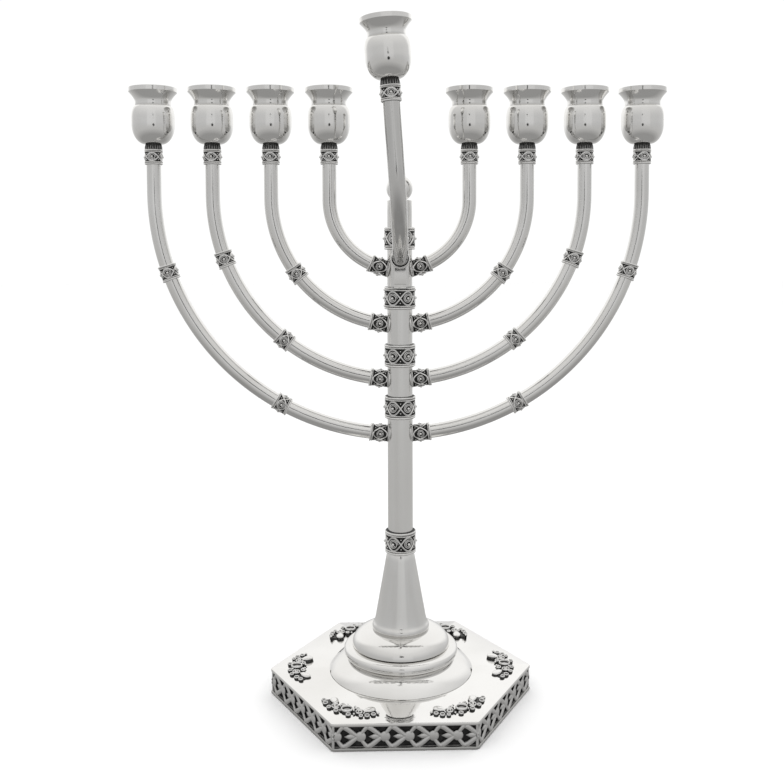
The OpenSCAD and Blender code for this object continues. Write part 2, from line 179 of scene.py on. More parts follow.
def sector(r0, r1, z0, z1, a0, a1, steps=24):
    """Solid block between two radii, two heights and two angles in degrees."""
    co = []
    for k in range(steps + 1):
        a = math.radians(a0 + (a1 - a0) * k / steps)
        for r, z in ((r0, z0), (r1, z0), (r1, z1), (r0, z1)):
            co.append((r * math.cos(a), r * math.sin(a), z))
    return co, loft_faces(steps)


def sweep(path, radius, up=(0, 0, 1), sides=8, closed=False, tall=1.0, blunt=0.6):
    """Wire along a path. up is one vector or one for each point, and tall stretches the section along it."""
    p = np.array(path, float)
    n = len(p)
    t = np.roll(p, -1, 0) - np.roll(p, 1, 0) if closed else np.gradient(p, axis=0)
    t /= np.linalg.norm(t, axis=1, keepdims=True)
    v = np.broadcast_to(np.array(up, float), p.shape)
    v = v - (v * t).sum(1, keepdims=True) * t
    v /= np.linalg.norm(v, axis=1, keepdims=True)
    u = np.cross(t, v)
    radii = np.broadcast_to(np.array(radius, float), (n,))[:, None, None]
    a = np.arange(sides) * TAU / sides
    ring = np.cos(a)[None, :, None] * u[:, None] + tall * np.sin(a)[None, :, None] * v[:, None]
    co = (p[:, None] + radii * ring).reshape(-1, 3).tolist()
    faces = []
    for k in range(n if closed else n - 1):
        m = (k + 1) % n
        for j in range(sides):
            i = (j + 1) % sides
            faces.append((k * sides + j, k * sides + i, m * sides + i, m * sides + j))
    if not closed:
        for end, sign in ((0, -1), (n - 1, 1)):
            tip = p[end] + sign * t[end] * float(radii[end if len(radii) > 1 else 0, 0, 0]) * blunt
            co.append(tip.tolist())
            for j in range(sides):
                faces.append((end * sides + j, end * sides + (j + 1) % sides, len(co) - 1))
    return co, faces


def ball(centre, r, up=(0, 0, 1), flat=1.0, sides=14, rows=8):
    """Ball, squashed along up by flat."""
    z = np.array(up, float) / np.linalg.norm(up)
    x = np.cross(z, (1, 0, 0) if abs(z[0]) < 0.8 else (0, 1, 0))
    x /= np.linalg.norm(x)
    y = np.cross(z, x)
    tilt = [math.pi * k / rows for k in range(rows + 1)]
    profile = [(r * math.sin(t), -r * flat * math.cos(t)) for t in tilt]
    profile[0], profile[-1] = (0, profile[0][1]), (0, profile[-1][1])
    co, faces = revolve(profile, sides, closed=False)
    co = [(np.array(centre) + c[0] * x + c[1] * y + c[2] * z).tolist() for c in co]
    return co, faces


def angles(n):
    """n angles evenly round the circle, from 0."""
    return np.linspace(0, TAU, n, endpoint=False)


def circle_path(r, z, n):
    """Circle round the Z axis, for a closed sweep."""
    return [(r * math.cos(a), r * math.sin(a), z) for a in angles(n)]


def arc_path(r, z, n, start, stop):
    """Part of a circle round the Z axis, between two angles in degrees."""
    turn = [math.radians(start + (stop - start) * k / n) for k in range(n + 1)]
    return [(r * math.cos(a), r * math.sin(a), z) for a in turn]


def catmull(points, steps):
    """Smooth curve through points."""
    p = [np.array(q, float) for q in points]
    p = [2 * p[0] - p[1]] + p + [2 * p[-1] - p[-2]]
    out = []
    for k in range(1, len(p) - 2):
        a, b, c, d = p[k - 1:k + 3]
        for j in range(steps):
            t = j / steps
            square = (2 * a - 5 * b + 4 * c - d) * t ** 2
            cube = (3 * b - a - 3 * c + d) * t ** 3
            out.append(0.5 * (2 * b + (c - a) * t + square + cube))
    out.append(p[-2])
    return np.array(out)


def radial(path):
    """Outward direction from the Z axis at each point of a path."""
    p = np.array(path, float) * (1, 1, 0)
    return p / np.linalg.norm(p, axis=1, keepdims=True)


def rope(r, z, wire, turns, n):
    """Two twisted strands round the Z axis."""
    strands = []
    for phase in (0, math.pi):
        path = []
        for a in angles(n):
            w = turns * a + phase
            across = r + wire * math.cos(w)
            path.append((across * math.cos(a), across * math.sin(a), z + wire * math.sin(w)))
        strands.append(sweep(path, wire, sides=6, closed=True))
    return strands


def standing(co, start, stop):
    """How high each vertex stands between two heights, 0 to 1."""
    return [max(0.0, min(1.0, (c[2] - start) / (stop - start))) for c in co]


def level(co, ground, top):
    """How far each vertex stands from the ground radius towards the top radius, 0 to 1."""
    r = np.hypot(np.array(co)[:, 0], np.array(co)[:, 1])
    return np.clip((r - ground) / (top - ground), 0, 1).tolist()


# ---------------- materials

class Surface:
    """A material under construction: short calls for the nodes that it uses."""

    def __init__(self, name):
        self.m = bpy.data.materials.new(name)
        self.m.use_nodes = True
        self.t = self.m.node_tree
        self.b = self.t.nodes["Principled BSDF"]
        self.co = self.t.nodes.new("ShaderNodeTexCoord").outputs["Object"]

    def put(self, socket, value):
        """Links a socket to another, or gives it a value."""
        if isinstance(value, bpy.types.NodeSocket):
            self.t.links.new(value, socket)
        else:
            socket.default_value = value

    def node(self, kind, inputs, **settings):
        """New node with its inputs linked or set."""
        n = self.t.nodes.new(kind)
        for key, value in settings.items():
            setattr(n, key, value)
        for key, value in inputs.items():
            self.put(n.inputs[key], value)
        return n

    def noise(self, scale, detail=3.0, rough=0.5, stretch=(1, 1, 1)):
        """Noise in the piece's own space, finer along an axis where stretch is larger."""
        moved = self.node("ShaderNodeMapping", {"Vector": self.co, "Scale": stretch})
        return self.node("ShaderNodeTexNoise", {"Vector": moved.outputs[0], "Scale": scale, "Detail": detail,
                                                "Roughness": rough}).outputs[0]

    def ramp(self, value, low, high, start=0.0, stop=1.0):
        """Maps start..stop of value to low..high."""
        return self.node("ShaderNodeMapRange", {"Value": value, "From Min": start, "From Max": stop,
                                                "To Min": low, "To Max": high}).outputs[0]

    def mix(self, factor, a, b):
        """Colour a where factor is 0, b where it is 1."""
        n = self.node("ShaderNodeMix", {0: factor}, data_type="RGBA")
        self.put(n.inputs[6], a)
        self.put(n.inputs[7], b)
        return n.outputs[2]

    def math(self, operation, a, b=0.5):
        """One sum or product. Left out, b is one half, so that MULTIPLY halves a."""
        return self.node("ShaderNodeMath", {0: a, 1: b}, operation=operation).outputs[0]

    def bump(self, height, distance, strength=1.0, under=None):
        """Bump of a depth in metres, on top of another one where under is given."""
        inputs = {"Height": height, "Distance": distance, "Strength": strength}
        if under is not None:
            inputs["Normal"] = under
        return self.node("ShaderNodeBump", inputs).outputs[0]

    def done(self, **sockets):
        """Fills the shader's sockets and gives back the material."""
        for key, value in sockets.items():
            self.put(self.b.inputs[key.replace("_", " ")], value)
        return self.m


def grey(v, warm=0.012):
    """Grey of a brightness, a trace warmer than neutral."""
    return (v, v * (1 - warm / 2), v * (1 - 1.6 * warm), 1)


def polished_silver(name, tone=0.82, rough=(0.10, 0.2), grain=(1, 1, 1), wave=0.00005, scratch=0.000004,
                    slow=(30, (1, 1, 1))):
    """Hand-polished silver: soft patches of tarnish, faint polishing lines, a slightly wavy face."""
    s = Surface(name)
    broad = s.noise(slow[0], 1, 0.4, slow[1])
    patches = s.math("MULTIPLY", s.math("ADD", s.noise(22, 4, 0.6), broad))
    lines = s.noise(700, 3, 0.65, grain)
    haze = s.math("MULTIPLY", s.ramp(patches, 0, 1, 0.3, 0.75), lines)
    colour = s.mix(s.ramp(patches, 0, 1, 0.35, 0.65), grey(tone * 0.9, 0.02), grey(tone))
    gloss = s.ramp(haze, rough[0], rough[1], 0.1, 0.6)
    fine = s.bump(lines, scratch, under=s.bump(broad, wave))
    return s.done(Base_Color=colour, Metallic=1.0, Roughness=gloss, Normal=fine)


def cast_silver(name):
    """Cast silver: grainy skin, polished where it stands proud and darker low down, part blackening and part
    painted shade.
    """
    s = Surface(name)
    high = s.node("ShaderNodeAttribute", {}, attribute_name="high").outputs["Fac"]
    grain = s.noise(1500, 4, 0.7)
    spots = s.noise(500, 3, 0.6)
    tarnish_and_shade = s.math("ADD", high, s.ramp(spots, -0.22, 0.22))
    shine = s.ramp(tarnish_and_shade, 0, 1, 0.25, 0.8)
    # colour darkens low down in the relief: part blackening, part painted shade
    colour = s.mix(shine, grey(0.10), grey(0.62))
    rough = s.math("ADD", s.ramp(shine, 0.6, 0.36), s.ramp(grain, -0.08, 0.1))
    return s.done(Base_Color=colour, Metallic=1.0, Roughness=rough, Normal=s.bump(grain, 0.00012, 0.9))


def wire_silver(name):
    """Filigree wire and granules: bright tops over dark flanks, part oxide and part painted shade in the
    hollows.
    """
    s = Surface(name)
    high = s.node("ShaderNodeAttribute", {}, attribute_name="high").outputs["Fac"]
    spots = s.noise(900, 3, 0.6)
    tarnish_and_shade = s.math("ADD", high, s.ramp(spots, -0.2, 0.2))
    shine = s.ramp(tarnish_and_shade, 0, 1, 0.1, 0.6)
    # colour darkens where the wire sinks to the ground: part oxide, part painted shade
    colour = s.mix(shine, grey(0.07), grey(0.80))
    return s.done(Base_Color=colour, Metallic=1.0, Roughness=s.ramp(shine, 0.5, 0.2),
                  Normal=s.bump(s.noise(2200, 2), 0.00003, 0.6))


def black_ground(name, tone=0.016):
    """Blackened ground behind the open work, with a little silver showing through."""
    s = Surface(name)
    patches = s.noise(450, 4, 0.7)
    colour = s.mix(s.ramp(patches, 0, 1, 0.5, 0.85), grey(tone), grey(tone * 4))
    return s.done(Base_Color=colour, Metallic=0.7, Roughness=s.ramp(patches, 0.65, 0.4),
                  Normal=s.bump(s.noise(1400, 3, 0.6), 0.00006))


def plain_steel(name):
    """Turned steel of the rod, nut and washer inside the stack."""
    s = Surface(name)
    lines = s.noise(500, 3, 0.6, (1, 1, 0.08))
    return s.done(Base_Color=s.mix(lines, grey(0.42), grey(0.6)), Metallic=1.0,
                  Roughness=s.ramp(lines, 0.28, 0.45), Normal=s.bump(lines, 0.00001))


SILVER = polished_silver("silver_branch", 0.82)
CUP_SILVER = polished_silver("silver_cup", 0.84, (0.07, 0.16), (1, 1, 6), 0.00004)
HELPER_SILVER = polished_silver("silver_helper", 0.66, (0.12, 0.24), (1, 1, 0.05), 0.00005, 0.000006,
                                (260, (1, 1, 0.06)))
COLUMN_SILVER = polished_silver("silver_column", 0.80, (0.14, 0.26), (1, 1, 0.03), 0.00005, 0.000006,
                                (170, (1, 1, 0.03)))
FOOT_SILVER = polished_silver("silver_foot", 0.84, (0.05, 0.13), (1, 1, 6), 0.00006)
PLATE_SILVER = polished_silver("silver_plate", 0.87, (0.03, 0.1), (1, 1, 1), 0.00003, 0.000001)
UNDER_SILVER = polished_silver("silver_under", 0.5, (0.2, 0.34))
CAST = cast_silver("cast_silver")
WIRE = wire_silver("wire_silver")
BLACK = black_ground("black_ground")
STEEL = plain_steel("plain_steel")


# ---------------- base

def rounded_hexagon(across, corner_r, steps=5):
    """Outline of a hexagon with a corner on +X, its corners rounded."""
    points = []
    centre = across - corner_r / math.cos(math.radians(30))
    for k in range(6):
        a = math.radians(60 * k)
        for j in range(steps + 1):
            b = a + math.radians(-30 + 60 * j / steps)
            x = centre * math.cos(a) + corner_r * math.cos(b)
            y = centre * math.sin(a) + corner_r * math.sin(b)
            points.append((x, y))
    return points


def plate(z0, z1, across, hole, edge=0.45, corner_r=2.0):
    """Hexagonal plate with softened edges and corners, and a round hole in its middle."""
    rings = []
    co, faces = [], []
    softer = 0.3 * edge
    layers = [(z0, edge), (z0 + softer, softer), (z0 + edge, 0),
              (z1 - edge, 0), (z1 - softer, softer), (z1, edge)]
    outline = rounded_hexagon(across, corner_r)
    n = len(outline)
    for z, inset in layers:
        scale = 1 - inset / across
        rings.append(range(len(co), len(co) + n))
        co += [(x * scale, y * scale, z) for x, y in outline]
    around = [math.atan2(y, x) for x, y in outline]
    for z in (z1, z0):
        rings.append(range(len(co), len(co) + n))
        co += [(hole * math.cos(a), hole * math.sin(a), z) for a in around]
    for a, b in zip(rings, rings[1:] + rings[:1]):
        for k in range(n):
            m = (k + 1) % n
            faces.append((a[k], a[m], b[m], b[k]))
    return Shape().add(co, faces)


def make_plates():
    """Top plate with a hole for the rod, bottom plate with a hand hole for the nut."""
    top = plate(plate_low[2], PLATE_TOP, BASE_R, 3.0)
    top.make("top_plate", "stand", [PLATE_SILVER], ["base_plate"], "plate_silver")
    under = plate(0, UNDER_TOP, BASE_R, 15.0)
    under.make("under_plate", "stand", [UNDER_SILVER], ["bottom_plate"], "plate_silver")


def gallery_relief(tall, length):
    """Cast lozenges with a round boss and a leaf in each, lying flat between two rails and two posts."""
    shape = Shape()
    pitch = length / LOZENGES
    top = tall / 2 - 0.7

    def cast(co, faces):
        shape.add(co, faces, standing(co, 0.15, 1.3))

    def arm(points, radii, lift=0.62, flat=0.64):
        """Tapering bar through points, its radii spread evenly along it."""
        p = catmull(points, 5)
        r = np.interp(np.linspace(0, 1, len(p)), np.linspace(0, 1, len(radii)), radii)
        cast(*sweep([(x, y, lift) for x, y in p], r, sides=10, tall=flat))

    for k in range(LOZENGES):
        u = -length / 2 + k * pitch
        for s in (1, -1):
            arm([(u + 0.16 * pitch, s * 1.0), (u + 0.30 * pitch, s * (top - 1.5)),
                 (u + 0.42 * pitch, s * top), (u + 0.56 * pitch, s * (top - 0.3)),
                 (u + 0.74 * pitch, s * top * 0.62), (u + pitch, s * 0.5)],
                [0.95, 1.05, 1.2, 1.36, 1.36, 1.1])
        leaf = [(u + pitch, 0), (u + 0.84 * pitch, 0.1), (u + 0.68 * pitch, -0.05), (u + 0.5 * pitch, 0)]
        arm(leaf, [0.8, 1.5, 1.3, 0.2], 0.6, 0.48)
        co, faces = ball((u + 0.17 * pitch, 0, 0.68), 2.75, flat=0.27, sides=24, rows=10)
        cast([(x, y, max(z, 0.0)) for x, y, z in co], faces)
    for s in (1, -1):
        rail = [(x, s * (tall / 2 - 0.24), 0.35) for x in np.linspace(-length / 2, length / 2, 40)]
        shape.add(*sweep(rail, 0.28, tall=1.2, blunt=0.0), 0.35)
        post = [(s * (length / 2 - 0.62), y, 0.62) for y in np.linspace(-tall / 2, tall / 2, 14)]
        cast(*sweep(post, 0.62, sides=10, tall=1.05, blunt=0.0))
    return shape


def gallery_side(i):
    """One side of the pierced gallery, stood up between the two plates."""
    tall = plate_low[2] - UNDER_TOP
    face = BASE_R * COS_30 - GALLERY_INSET
    a = math.radians(60 * i - 30)

    def place(p):
        u = p[:, 0]
        v = np.clip(p[:, 1], -tall / 2 + 0.01, tall / 2 - 0.01) + UNDER_TOP + tall / 2
        w = np.minimum(face - GALLERY_DEPTH + p[:, 2] + 0.02, face)
        return np.stack([w * math.cos(a) - u * math.sin(a), w * math.sin(a) + u * math.cos(a), v], 1)

    relief = gallery_relief(tall, face / COS_30).warp(place)
    relief.make(f"gallery_side_{i}", "stand", [CAST], [f"gallery_panel_{i}"], "cast_silver")


class Ornament(Shape):
    """Wires, beads and domes that stand on the plane Z = 0, round a setting at the origin."""

    def stand(self, co, faces, height, mat=0):
        """Adds a part that is dark low down and bright near its height: part oxide, part painted shade between
        the pieces.
        """
        self.add(co, faces, standing(co, 0.58 * height, 0.88 * height), mat)

    def wire(self, path, radius, height, closed):
        self.stand(*sweep(path, radius, sides=10, closed=closed, tall=height / 2 / radius), height)

    def floor(self, x, y, r):
        """Black disc under a ring or a coil: painted shadow between the wires."""
        co, faces = revolve([(0, 0.0), (r, 0.0), (r, 0.5), (0, 0.5)], 20, closed=False)
        self.add([(cx + x, cy + y, cz) for cx, cy, cz in co], faces, 0.0)

    def ring(self, x, y, r, radius=0.31, height=1.5):
        path = [(x + r * math.cos(a), y + r * math.sin(a), height / 2) for a in angles(28)]
        self.wire(path, radius, height, True)

    def coil(self, x, y, r, turns, start, spin, height=1.5):
        """Wire wound outwards from the middle, spin 1 or -1."""
        self.floor(x, y, r)
        path = []
        for t in np.linspace(0, 1, 52):
            a = start + spin * turns * TAU * t
            q = 0.5 + (r - 0.5) * t
            path.append((x + q * math.cos(a), y + q * math.sin(a), height / 2 + 0.25 * (1 - t)))
        self.wire(path, 0.36, height, False)

    def petal(self, x, y, angle):
        """Leaf-shaped dome with straight sides and a wire round its edge."""
        long, wide, height = 3.3, 2.0, 2.0
        edge = 0.62 * height
        c, s = math.cos(angle), math.sin(angle)

        def outline(px, py):
            lx, ly = px * long, py * wide * (1 - 0.24 * px)
            return x + lx * c - ly * s, y + lx * s + ly * c

        co, faces = ball((0, 0, 0), 1.0, sides=28, rows=14)
        dome = []
        for px, py, pz in co:
            r = math.hypot(px, py)
            if pz < 0 and r > 1e-6:
                px, py = px / r, py / r
            dome.append((*outline(px, py), max(0.0, height * (0.42 + 0.58 * pz))))
        self.stand(dome, faces, 0.8 * height, 1)
        self.wire([(*outline(math.cos(a), math.sin(a)), edge / 2) for a in angles(36)], 0.24, edge, True)

    def bead(self, x, y, r):
        self.stand(*ball((x, y, 1.2 * r), r), 1.8 * r)


def ornament_shape():
    """A chain of rings, coils and leaf-shaped domes round a plain setting, soldered to a thin backing kept dark
    as painted shadow between them.
    """
    shape = Ornament()
    # the backing stays dark all over: painted shadow between the pieces
    co, faces = sector(20.4, 24.2, 0.0, 0.4, -42, 43, 40)
    shape.add([(x - 22, y, z) for x, y, z in co], faces, 0.1)
    shape.ring(0, 0, 2.85, 0.48, 2.1)
    shape.add(*ball((0, 0, 0.62), 2.6, flat=0.2, sides=24, rows=10), 0.36)
    shape.coil(-0.8, -7.2, 2.7, 1.7, 0.6, 1)
    shape.coil(-0.6, 7.2, 2.5, 1.6, 2.6, -1)
    shape.coil(-3.6, -4.3, 1.4, 1.1, 1.2, -1, 1.3)
    shape.coil(-3.9, 4.5, 1.4, 1.1, 2.0, 1, 1.3)
    shape.petal(-5.4, -10.4, 0.55)
    shape.petal(-5.6, 11.0, -0.75)
    for x, y, r in ((4.0, -3.2, 1.15), (3.4, 4.6, 1.15), (0.4, -12.4, 1.2), (-1.0, 13.9, 1.25),
                    (-2.2, -14.6, 1.1), (2.2, -9.7, 0.95), (2.0, 9.9, 1.0), (-3.4, 16.4, 1.05)):
        shape.ring(x, y, r)
        shape.floor(x, y, r)
    for x, y, r in ((-4.3, -16.2, 0.8), (-5.0, -2.0, 0.65), (-4.9, 2.4, 0.65), (-3.0, -8.6, 0.6),
                    (-3.1, 8.9, 0.6), (2.0, -5.4, 0.6), (2.0, 2.9, 0.6)):
        shape.bead(x, y, r)
    return shape


def corner_ornament(i):
    """The ornament in one corner of the plate, mirrored from corner to corner."""
    hand = 1 if i % 2 == 0 else -1
    a = math.radians(60 * (i - 1))

    def place(p):
        x, y = p[:, 0] + ORNAMENT_AT, hand * p[:, 1]
        z = np.maximum(p[:, 2], 0.0) + PLATE_TOP + 0.005
        return np.stack([x * math.cos(a) - y * math.sin(a), x * math.sin(a) + y * math.cos(a), z], 1)

    shape = ornament_shape().warp(place)
    shape.make(f"ornament_{i}", "stand", [WIRE, FOOT_SILVER], [f"corner_ornament_{i}"], "cast_silver")


# ---------------- foot, stem, column and finial

def arc(cx, cz, r, a0, a1, n):
    """Points of an arc in a profile, angles in degrees from outwards, counted upwards."""
    turn = [math.radians(a0 + (a1 - a0) * k / n) for k in range(n + 1)]
    return [(cx + r * math.cos(a), cz + r * math.sin(a)) for a in turn]


def swell(a, b, d, n):
    """A line from a to b that bulges outwards by d."""
    run, rise = b[0] - a[0], b[1] - a[1]
    points = []
    for k in range(n + 1):
        t = k / n
        out = 4 * d * t * (1 - t) / math.hypot(run, rise)
        points.append((a[0] + run * t + rise * out, a[1] + rise * t - run * out))
    return points


def quarter(r_out, r_in, z0, z1, n):
    """Quarter of an ellipse, from r_out at z0 in to r_in at z1."""
    turn = [math.pi / 2 * k / n for k in range(n + 1)]
    return [(r_in + (r_out - r_in) * math.cos(a), z0 + (z1 - z0) * math.sin(a)) for a in turn]


def make_turned(profile, segments, closed, name, material, node):
    """A turned part of the stand."""
    shape = Shape().add(*revolve(profile, segments, closed))
    shape.make(name, "stand", [material], [node], "silver")


def make_foot():
    """Hollow foot: a swelling skirt, a rounded ring and a cushion."""
    z = foot_low[2]
    tall = foot_high[2] - z
    skirt_r, skirt_h = foot_high[0], 8.3
    ring_r, ring_h = 32.6, 6.0
    cushion_r, neck_r = 27.8, 15.6
    profile = [(skirt_r - 0.35, 0)] + swell((skirt_r, 0.35), (ring_r - 3, skirt_h), 1.2, 16)
    profile += arc(ring_r - 3, skirt_h + 3, 3, -84, 88, 18)
    profile += [(cushion_r - 1.2, skirt_h + ring_h + 0.1)]
    profile += quarter(cushion_r, neck_r, skirt_h + ring_h + 0.55, tall, 22)
    profile += [(3.0, tall), (3.0, tall - 1), (15.0, tall - 1), (cushion_r - 2.4, skirt_h + ring_h),
                (ring_r - 4.6, skirt_h - 1), (skirt_r - 2.6, 0)]
    make_turned([(r, h + z) for r, h in profile], 160, True, "foot", FOOT_SILVER, "foot_dome")


def make_cone():
    """Hollow cone with a flared foot."""
    z = cone_low[2]
    h = cone_high[2] - z
    flare_r, flare_h, neck_r = 14.4, 6.4, 7.75
    flare = catmull([(15.6, 0.0), (16.3, 1.1), (16.0, 2.6), (15.05, 4.2), (flare_r, flare_h)], 6)
    profile = [tuple(q) for q in flare]
    for k in range(1, 11):
        profile.append((flare_r + (neck_r - flare_r) * k / 10, flare_h + (h - flare_h - 0.2) * k / 10))
    profile += [(neck_r - 0.15, h), (3.0, h), (3.0, h - 1), (6.8, h - 1)]
    profile += [(13.2, 4.5), (13.2, 0.02), (15.2, 0.02)]
    make_turned([(r, q + z) for r, q in profile], 128, True, "cone", COLUMN_SILVER, "stem_cone")


def make_column():
    """Tube closed by a softened end at the top."""
    z0, z1, r = column_low[2], COLUMN_TOP, COLUMN_R
    profile = [(0, z1 - 1), (r - 1, z1 - 1), (r - 1, z0)]
    profile += [(r, z0 + (z1 - 0.5 - z0) * k / 40) for k in range(41)]
    profile += [(r - 0.15, z1 - 0.15), (r - 0.5, z1), (0, z1)]
    make_turned(profile, 96, False, "column_tube", COLUMN_SILVER, "column")


def make_finial():
    """Ball on the column's end, with a rosette on its top."""
    top = box_mm("finial_ball")[1][2]
    centre = top - FINIAL_R
    start = -math.degrees(math.asin((centre - COLUMN_TOP) / FINIAL_R))
    outer = arc(0, centre, FINIAL_R, start, 90, 40)
    seat = COLUMN_TOP + 0.01
    profile = [(0, seat), (outer[0][0], seat)] + outer[:-1] + [(0, top)]
    make_turned(profile, 96, False, "finial_globe", CUP_SILVER, "finial_ball")
    make_rosette(top)


def make_rosette(z):
    """Rings inside a twisted wire, and a bead on a short stalk in their middle."""
    shape = Shape()
    for a in angles(8):
        x, y = 1.9 * math.cos(a), 1.9 * math.sin(a)
        path = [(x + 0.8 * math.cos(b), y + 0.8 * math.sin(b), z - 0.16) for b in angles(18)]
        shape.add(*sweep(path, 0.24, sides=6, closed=True), 0.8)
    for strand in rope(2.95, z - 0.5, 0.24, 16, 96):
        shape.add(*strand, 0.7)
    ground = [(0, z - 1.0), (2.9, z - 1.0), (2.7, z - 0.45), (1.4, z - 0.05), (0, z)]
    shape.add(*revolve(ground, 40, closed=False), 0.0, 1)
    stalk = [(0, z - 0.3), (1.25, z - 0.2), (1.2, z + 0.5), (0.75, z + 0.9), (0.7, z + 1.2), (0, z + 1.3)]
    shape.add(*revolve(stalk, 32, closed=False), 0.8)
    shape.add(*ball((0, 0, z + 1.95), 1.2, sides=20, rows=12))
    shape.make("finial_rosette", "stand", [WIRE, BLACK], ["finial_bead"], "filigree")


# ---------------- filigree bands

class Band(Shape):
    """A band centred on the origin round Z: black ground, end rims, crossing wires, coils and granules.

    tube_r, ground and rim_top are radii. The pocket is the room for the helper's blade, and fluted is the
    length of a pleated collar at the band's upper end.
    """

    def __init__(self, tube_r, ground, rim_top, length, units, pocket=False, fluted=0.0):
        super().__init__()
        big = tube_r > 6
        self.tube_r, self.ground, self.rim_top, self.units = tube_r, ground, rim_top, units
        self.rim = 0.66 if big else 0.48
        self.wire = 0.31 if big else 0.26
        self.rope_r = 0.25 if big else 0.2
        self.granule = 0.8 if big else 0.75
        self.small_granule = 0.4 if big else 0.32
        self.fine = 120 if big else 72
        self.half = (length - fluted) / 2
        self.mid = -fluted / 2
        self.reach = self.half - 2 * self.rim - 4 * self.rope_r - 0.15
        if pocket:
            self.pocket_walls()
        else:
            self.walls()
        self.rims(pocket)
        self.crossings()
        self.coils()
        if fluted:
            self.flutes(length / 2)

    def bright(self, co, faces, lift=0.0):
        """Adds wires that are dark at the ground and bright at their tops: part oxide, part painted shade in
        the hollows.
        """
        tops = level(co, self.ground - 0.05, self.ground + 2 * self.wire)
        self.add(co, faces, [min(1.0, v + lift) for v in tops])

    def walls(self):
        """Black ground between two end plates."""
        low, high = self.mid - self.half + 0.15, self.mid + self.half - 0.15
        lip = self.rim_top - self.rim
        section = [(self.tube_r, low), (lip, low), (lip, low + 1), (self.ground, low + 1),
                   (self.ground, high - 1), (lip, high - 1), (lip, high), (self.tube_r, high)]
        self.add(*revolve(section, self.fine), 0.0, 1)

    def pocket_walls(self):
        """Black ground that leaves room for the blade, and end plates with the upper one open in front."""
        low, high = self.mid - self.half + 0.15, self.mid + self.half - 0.15
        inner, lip = BLADE_OUT + 0.17, self.rim_top - self.rim
        section = [(inner, low + 0.9), (self.ground, low + 0.9), (self.ground, high - 0.2), (inner, high - 0.2)]
        self.add(*revolve(section, 96), 0.0, 1)
        section = [(self.tube_r, low), (lip, low), (lip, low + 1), (self.tube_r, low + 1)]
        self.add(*revolve(section, 96), 0.1, 1)
        self.add(*sector(self.tube_r, self.ground - 0.02, high - 1, high, -62, 242, 80), 0.1, 1)

    def rims(self, pocket):
        """A plain wire at each end, then a twisted one that stays inside the rim."""
        rope_at = self.ground + 1.6 * self.rope_r
        if not pocket:
            rope_at = min(rope_at, self.rim_top - 2 * self.rope_r)
        for s in (-1, 1):
            z = self.mid + s * (self.half - self.rim)
            if pocket and s == 1:
                path = arc_path(self.rim_top - self.rim, z, 90, -61, 241)
                self.bright(*sweep(path, self.rim, sides=10))
                self.bright(*sweep(circle_path(self.ground + 0.28, z + 0.1, 96), 0.3, closed=True), 0.3)
            else:
                path = circle_path(self.rim_top - self.rim, z, self.fine)
                self.bright(*sweep(path, self.rim, sides=10, closed=True))
            z = self.mid + s * (self.half - 2 * self.rim - 2 * self.rope_r)
            for strand in rope(rope_at, z, self.rope_r, self.fine // 3, self.fine * 2):
                self.bright(*strand, 0.35)

    def crossings(self):
        """Pairs of wires that swing from end to end and cross."""
        centre_r = min(self.ground + 0.8 * self.wire, self.rim_top - 1.35 * self.wire)
        for s in (-1, 1):
            for d in (-0.9, 0.9):
                path = []
                for a in angles(self.fine * 2):
                    swing = self.units / 2 * a
                    r = centre_r + 0.35 * self.wire * s * math.sin(2 * swing)
                    z = s * self.reach * math.cos(swing) + d * self.wire
                    z = max(-self.reach, min(self.reach, z))
                    path.append((r * math.cos(a), r * math.sin(a), self.mid + z))
                self.bright(*sweep(path, self.wire, up=radial(path), sides=6, closed=True))

    def coils(self):
        """A coil and a granule in each lozenge, and small granules where the wires cross."""
        coil_r = min(0.92 * self.reach, 0.31 * TAU * self.ground / self.units)
        for a0 in angles(self.units):
            path = []
            for t in np.linspace(0, 1, 46):
                w = 1.9 * TAU * t
                q = coil_r * (1.0 - 0.55 * t)
                a = a0 + q * math.cos(w) / self.ground
                r = min(self.ground + self.wire * (1.2 + 0.9 * t), self.rim_top - self.wire)
                path.append((r * math.cos(a), r * math.sin(a), self.mid + q * math.sin(w)))
            self.bright(*sweep(path, 0.95 * self.wire, up=radial(path), sides=6), 0.15)
            co, faces = self.grain(a0, self.ground + 0.72 * self.granule, 0, self.granule)
            tops = level(co, self.ground, self.ground + self.granule)
            self.add(co, faces, [min(1.0, 0.35 + v) for v in tops])
            for z in (0.72 * self.reach, -0.72 * self.reach):
                crossing = a0 + math.pi / self.units
                self.bright(*self.grain(crossing, self.ground + 0.2, z, self.small_granule, 10, 6), 0.2)

    def grain(self, angle, r, z, size, sides=14, rows=8):
        """Ball at an angle round the band, at a height from its middle."""
        out = (math.cos(angle), math.sin(angle), 0)
        return ball((r * out[0], r * out[1], self.mid + z), size, out, sides=sides, rows=rows)

    def flutes(self, top):
        """Pleated collar from the band up to top, where a cup sits on it. Kept dark as painted shade under the
        cup.
        """
        g, low = self.ground, self.mid + self.half - 0.05
        section = [(self.tube_r, low), (g + 0.1, low), (g - 0.15, (low + top) / 2),
                   (self.tube_r + 0.1, top - 0.02), (self.tube_r, top - 0.02)]
        # collar and flutes stay dark: painted shade under the cup
        self.add(*revolve(section, 48), 0.1)
        for a in angles(22):
            path = []
            for t in np.linspace(0, 1, 7):
                r = g + 0.22 - 0.5 * t ** 2
                path.append((r * math.cos(a), r * math.sin(a), low + (top - 0.12 - low) * t))
            co, faces = sweep(path, 0.3, up=radial(path), sides=6)
            self.add(co, faces, [0.06 + 0.24 * v for v in level(co, g, g + 0.5)])


def on_arc(angle_deg, radius, centre_z, side):
    """Bends a band made round Z onto a branch's arc."""
    a0 = math.radians(angle_deg)

    def place(p):
        a = a0 + p[:, 2] / radius
        r = radius + p[:, 0]
        return np.stack([side * r * np.sin(a), p[:, 1], centre_z - r * np.cos(a)], 1)

    return place


